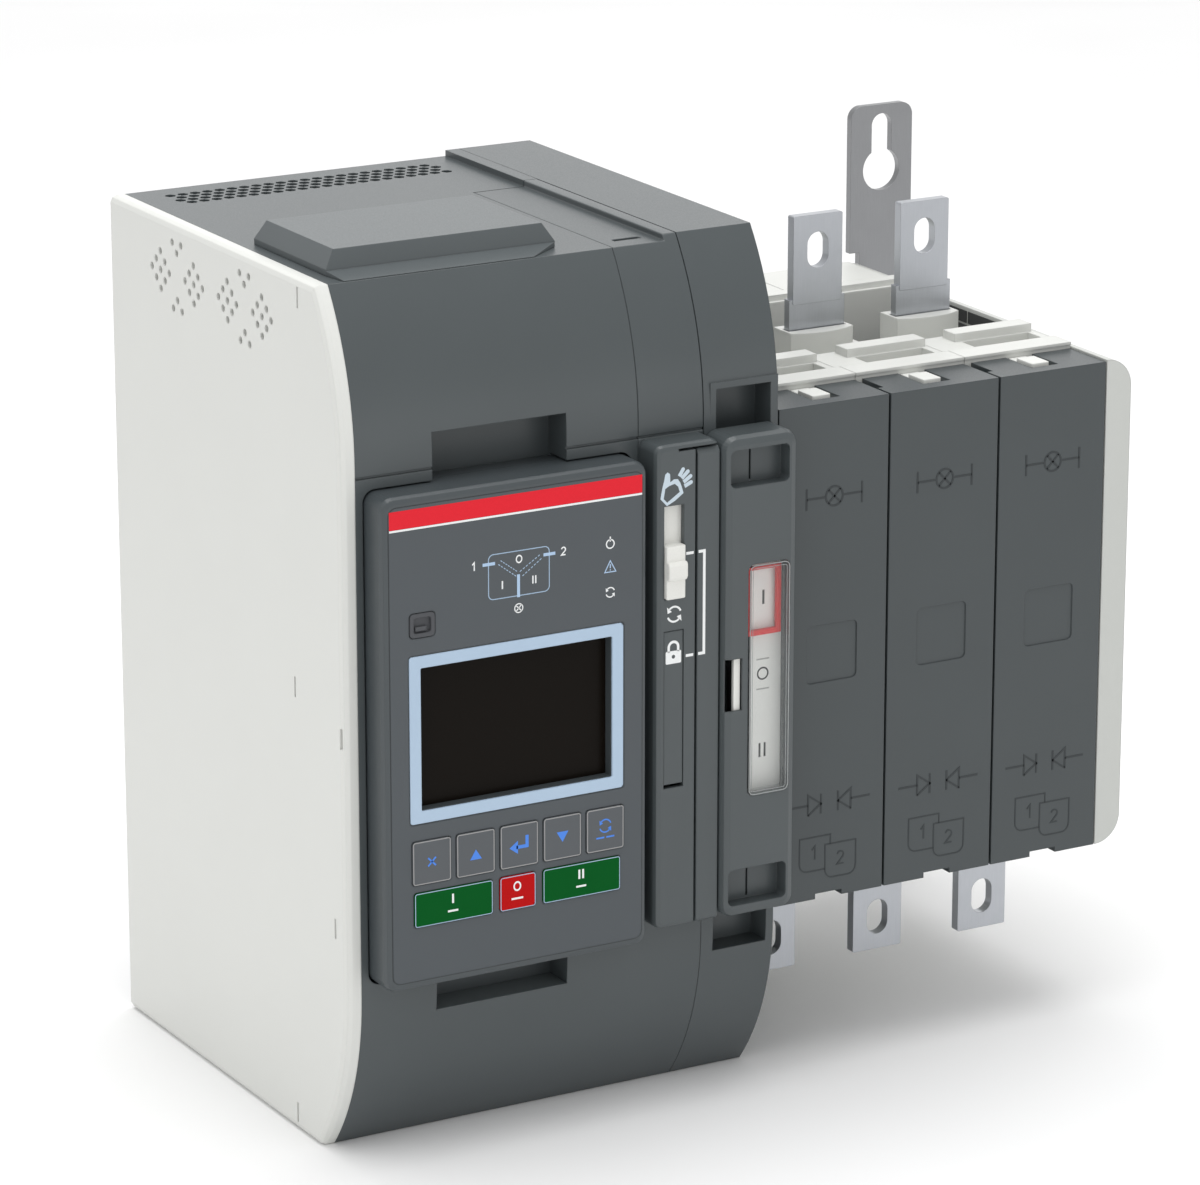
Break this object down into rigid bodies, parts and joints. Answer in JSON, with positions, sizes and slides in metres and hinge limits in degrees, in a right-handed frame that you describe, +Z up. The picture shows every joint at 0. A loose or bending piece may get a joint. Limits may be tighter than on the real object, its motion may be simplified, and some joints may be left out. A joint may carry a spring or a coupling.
{
  "type": "automatic transfer switch",
  "caption": "Wall-mounted automatic transfer switch: tall mechanism housing with display panel, selector and position indicator, beside three switch poles with terminal blades.",
  "frame": {"origin": "on the wall face of the steel back plate, at the middle of the mechanism housing's width and height", "axes": "+Z up, +Y into the wall, +X from the mechanism housing towards the switch poles"},
  "size_m": [0.3391, 0.1939, 0.3188],
  "materials": {
    "dark_housing": "fine moulded texture, satin",
    "white_housing": "moulded, satin",
    "dark_cover": "moulded, satin",
    "panel_grey": "moulded, satin",
    "zinc_steel": "zinc plated",
    "bright_steel": "ground",
    "tinned_copper": "tin plated",
    "silvered_copper": "silver faced copper",
    "coil": "wound coil with tape",
    "circuit_board": "solder mask",
    "clear_window": "clear moulding",
    "card": "printed card",
    "display_rim": "printed rim",
    "display_glass": "dark glass",
    "display_module": "black module",
    "key_dark": "membrane",
    "key_green": "membrane",
    "key_red": "membrane",
    "slider_white": "moulded",
    "signal_red": "moulded",
    "rubber_flap": "soft rubber",
    "rotor_plastic": "phenolic",
    "chute_plate": "plated steel"
  },
  "bodies": {
    "root": {"left_end_cover": "white_housing", "mechanism_housing": "dark_housing", "service_cover": "dark_housing", "side_housing": "dark_housing", "top_lid": "dark_housing", "back_plate": "zinc_steel", "chassis_left": "zinc_steel", "chassis_right": "zinc_steel", "chassis_spacers": "bright_steel", "spindle_bracket": "zinc_steel", "solenoid_frames": "zinc_steel", "solenoid_coils": "coil", "power_board": "circuit_board", "selector_panel": "dark_housing", "indicator_frame": "dark_housing", "indicator_window": "clear_window", "indicator_card": "card", "pole_housing_1": "white_housing", "pole_housing_2": "white_housing", "pole_housing_3": "white_housing", "pole_cover_1": "dark_cover", "pole_cover_2": "dark_cover", "pole_cover_3": "dark_cover", "cover_latches": "white_housing", "arc_chutes": "chute_plate", "load_terminal_1": "tinned_copper", "load_terminal_2": "tinned_copper", "load_terminal_3": "tinned_copper", "front_source_terminals": "tinned_copper", "rear_source_terminals": "tinned_copper", "right_end_cover": "white_housing", "tie_rods": "bright_steel", "mounting_strap": "zinc_steel"},
    "hmi": {"hmi_bezel": "panel_grey", "hmi_back_shell": "panel_grey", "display_frame": "display_rim", "display_window": "display_glass", "display_panel": "display_module", "hmi_board": "circuit_board"},
    "usb_flap": {"usb_flap": "rubber_flap"},
    "shaft": {"main_shaft": "bright_steel", "contact_carriers": "rotor_plastic", "moving_contact_1": "silvered_copper", "moving_contact_2": "silvered_copper", "moving_contact_3": "silvered_copper"},
    "yoke": {"drive_yoke": "bright_steel"},
    "spindle": {"manual_spindle": "bright_steel"},
    "indicator": {"position_frame": "signal_red"},
    "mode_slider": {"mode_slider": "slider_white"},
    "shutter": {"socket_shutter": "slider_white"},
    "padlock_slide": {"padlock_slide": "dark_housing"},
    "handle": {"manual_handle": "dark_housing"},
    "key_1": {"key_1": "key_dark"},
    "key_2": {"key_2": "key_dark"},
    "key_3": {"key_3": "key_dark"},
    "key_4": {"key_4": "key_dark"},
    "key_5": {"key_5": "key_dark"},
    "key_source_1": {"key_source_1": "key_green"},
    "key_off": {"key_off": "key_red"},
    "key_source_2": {"key_source_2": "key_green"}
  },
  "joints": [
    {"name": "shaft_turn", "type": "hinge", "parent": "root", "child": "shaft", "pos_m": [0.08585, -0.09, 0.00185], "axis": [1, 0, 0], "range_deg": [0, 60]},
    {"name": "yoke_travel", "type": "slide", "parent": "root", "child": "yoke", "axis": [0, 0, 1], "range_m": [-0.0222, 0]},
    {"name": "position_travel", "type": "slide", "parent": "root", "child": "indicator", "axis": [0, 0, 1], "range_m": [-0.055, 0]},
    {"name": "spindle_turn", "type": "hinge", "parent": "root", "child": "spindle", "pos_m": [0.06015, -0.15, 0.00185], "axis": [0, 1, 0], "range_deg": [-60.5, 0]},
    {"name": "mode_select", "type": "slide", "parent": "root", "child": "mode_slider", "axis": [0, 0, 1], "range_m": [0, 0.014]},
    {"name": "shutter_travel", "type": "slide", "parent": "root", "child": "shutter", "axis": [1, 0, 0], "range_m": [0, 0.0022]},
    {"name": "padlock_pull", "type": "slide", "parent": "root", "child": "padlock_slide", "axis": [0, -1, 0], "range_m": [0, 0.015]},
    {"name": "handle_release", "type": "slide", "parent": "root", "child": "handle", "axis": [0, -1, 0], "range_m": [0, 0.03]},
    {"name": "hmi_release", "type": "slide", "parent": "root", "child": "hmi", "axis": [0, -1, 0], "range_m": [0, 0.025]},
    {"name": "usb_flap_swing", "type": "hinge", "parent": "hmi", "child": "usb_flap", "pos_m": [-0.06675, -0.1914, 0.04135], "axis": [0, 0, -1], "range_deg": [0, 100]},
    {"name": "press_key_1", "type": "slide", "parent": "hmi", "child": "key_1", "axis": [0, 1, 0], "range_m": [0, 0.0008], "stiffness_N_per_m": 400},
    {"name": "press_key_2", "type": "slide", "parent": "hmi", "child": "key_2", "axis": [0, 1, 0], "range_m": [0, 0.0008], "stiffness_N_per_m": 400},
    {"name": "press_key_3", "type": "slide", "parent": "hmi", "child": "key_3", "axis": [0, 1, 0], "range_m": [0, 0.0008], "stiffness_N_per_m": 400},
    {"name": "press_key_4", "type": "slide", "parent": "hmi", "child": "key_4", "axis": [0, 1, 0], "range_m": [0, 0.0008], "stiffness_N_per_m": 400},
    {"name": "press_key_5", "type": "slide", "parent": "hmi", "child": "key_5", "axis": [0, 1, 0], "range_m": [0, 0.0008], "stiffness_N_per_m": 400},
    {"name": "press_key_source_1", "type": "slide", "parent": "hmi", "child": "key_source_1", "axis": [0, 1, 0], "range_m": [0, 0.0008], "stiffness_N_per_m": 400},
    {"name": "press_key_off", "type": "slide", "parent": "hmi", "child": "key_off", "axis": [0, 1, 0], "range_m": [0, 0.0008], "stiffness_N_per_m": 400},
    {"name": "press_key_source_2", "type": "slide", "parent": "hmi", "child": "key_source_2", "axis": [0, 1, 0], "range_m": [0, 0.0008], "stiffness_N_per_m": 400}
  ],
  "couplings": [
    {"joint": "yoke_travel", "follows": "shaft_turn", "m_per_rad": -0.021008},
    {"joint": "position_travel", "follows": "shaft_turn", "m_per_rad": -0.05233},
    {"joint": "spindle_turn", "follows": "shaft_turn", "ratio": -1},
    {"joint": "shutter_travel", "follows": "mode_select", "ratio": 0.15}
  ]
}
